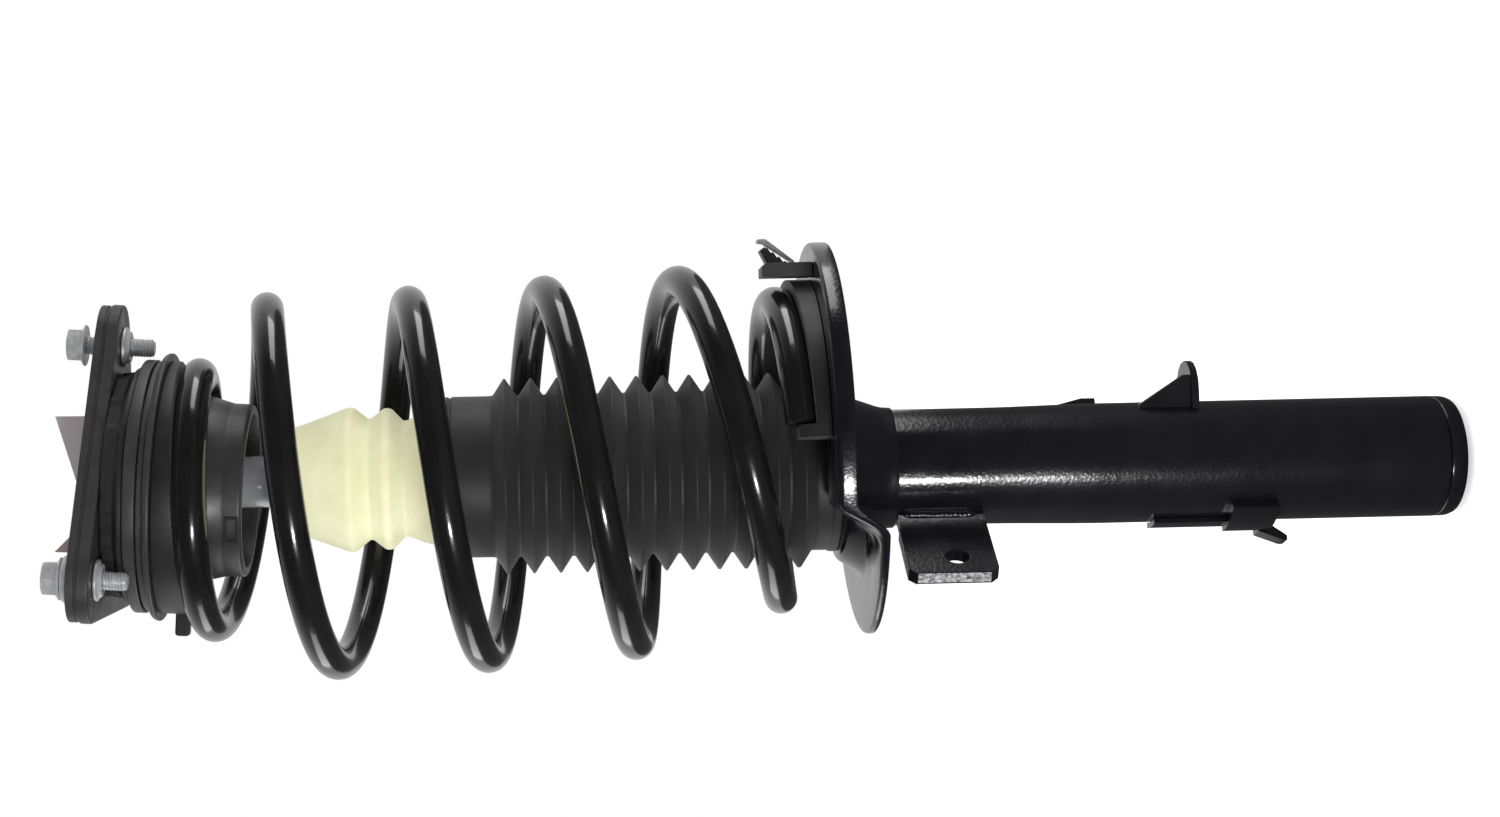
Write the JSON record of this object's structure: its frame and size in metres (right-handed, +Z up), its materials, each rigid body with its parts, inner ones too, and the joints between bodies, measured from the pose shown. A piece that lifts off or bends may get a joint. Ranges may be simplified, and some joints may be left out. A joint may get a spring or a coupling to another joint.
{
  "type": "strut assembly",
  "caption": "Front suspension strut with a tubular damper, side-loaded coil spring, pleated dust boot, bump stop, steering bearing and a bolted top mount.",
  "frame": {"origin": "centre of the damper tube's lower end face", "axes": "+Z up the damper's axis towards the top mount, +X towards the hose bracket side of the tube, +Y by the right-hand rule"},
  "size_m": [0.1846, 0.1676, 0.5955],
  "materials": {
    "black_paint": "gloss black enamel",
    "spring_coating": "gloss black powder coat",
    "boot_rubber": "matte moulded",
    "black_rubber": "matte moulded",
    "black_plastic": "glass-filled nylon, moulded",
    "zinc_steel": "zinc plated",
    "chrome": "hard chromed and ground",
    "sintered_steel": "sintered",
    "bump_foam": "cream microcellular foam",
    "grey_card": "blank matt card"
  },
  "bodies": {
    "damper_body": {"reserve_tube": "black_paint", "base_cap": "black_paint", "base_valve": "sintered_steel", "pressure_tube": "zinc_steel", "rod_guide": "sintered_steel", "rod_seal": "black_rubber", "strike_cap": "black_paint", "spring_pan": "black_paint", "lower_isolator": "black_rubber", "spring_retainer": "black_plastic", "harness_clip": "black_plastic", "harness_clip_pin": "zinc_steel", "link_bracket": "black_paint", "hose_bracket": "black_paint", "clip_bracket": "black_paint", "sensor_tab": "black_paint", "coil_spring": "spring_coating", "dust_boot": "boot_rubber"},
    "spring_seat": {"upper_spring_seat": "black_plastic", "upper_isolator": "black_rubber", "bearing_lower_race": "black_plastic", "bearing_cage": "zinc_steel"},
    "piston_rod": {"piston_rod": "chrome", "piston": "sintered_steel", "piston_nut": "zinc_steel", "rebound_stop": "black_rubber", "bump_stop": "bump_foam", "sleeve_washer": "zinc_steel", "inner_sleeve": "zinc_steel", "rod_nut": "zinc_steel"},
    "top_mount": {"mount_plate": "black_plastic", "mount_housing": "black_plastic", "rubber_bush": "black_rubber", "bearing_upper_shell": "black_plastic", "mount_bolt_1": "zinc_steel", "mount_bolt_2": "zinc_steel", "mount_bolt_3": "zinc_steel", "bolt_washer_1": "zinc_steel", "bolt_washer_2": "zinc_steel", "bolt_washer_3": "zinc_steel", "bolt_retainer_1": "zinc_steel", "bolt_retainer_2": "zinc_steel", "bolt_retainer_3": "zinc_steel", "blank_tag": "grey_card", "blank_label": "grey_card"}
  },
  "joints": [
    {"name": "damper_stroke", "type": "slide", "parent": "damper_body", "child": "spring_seat", "axis": [0, 0, 1], "range_m": [-0.12, 0], "stiffness_N_per_m": 26000, "springref_m": 0.001, "deforming": ["coil_spring", "dust_boot"]},
    {"name": "steering_bearing", "type": "hinge", "parent": "spring_seat", "child": "top_mount", "pos_m": [0, 0, 0.57], "axis": [0.0663, 0, 0.9978], "range_deg": [-40, 40]},
    {"name": "rod_turn", "type": "hinge", "parent": "spring_seat", "child": "piston_rod", "pos_m": [0, 0, 0.57], "axis": [0, 0, 1], "range_deg": [-40, 40]}
  ],
  "couplings": [
    {"joint": "rod_turn", "follows": "steering_bearing", "ratio": 1}
  ]
}
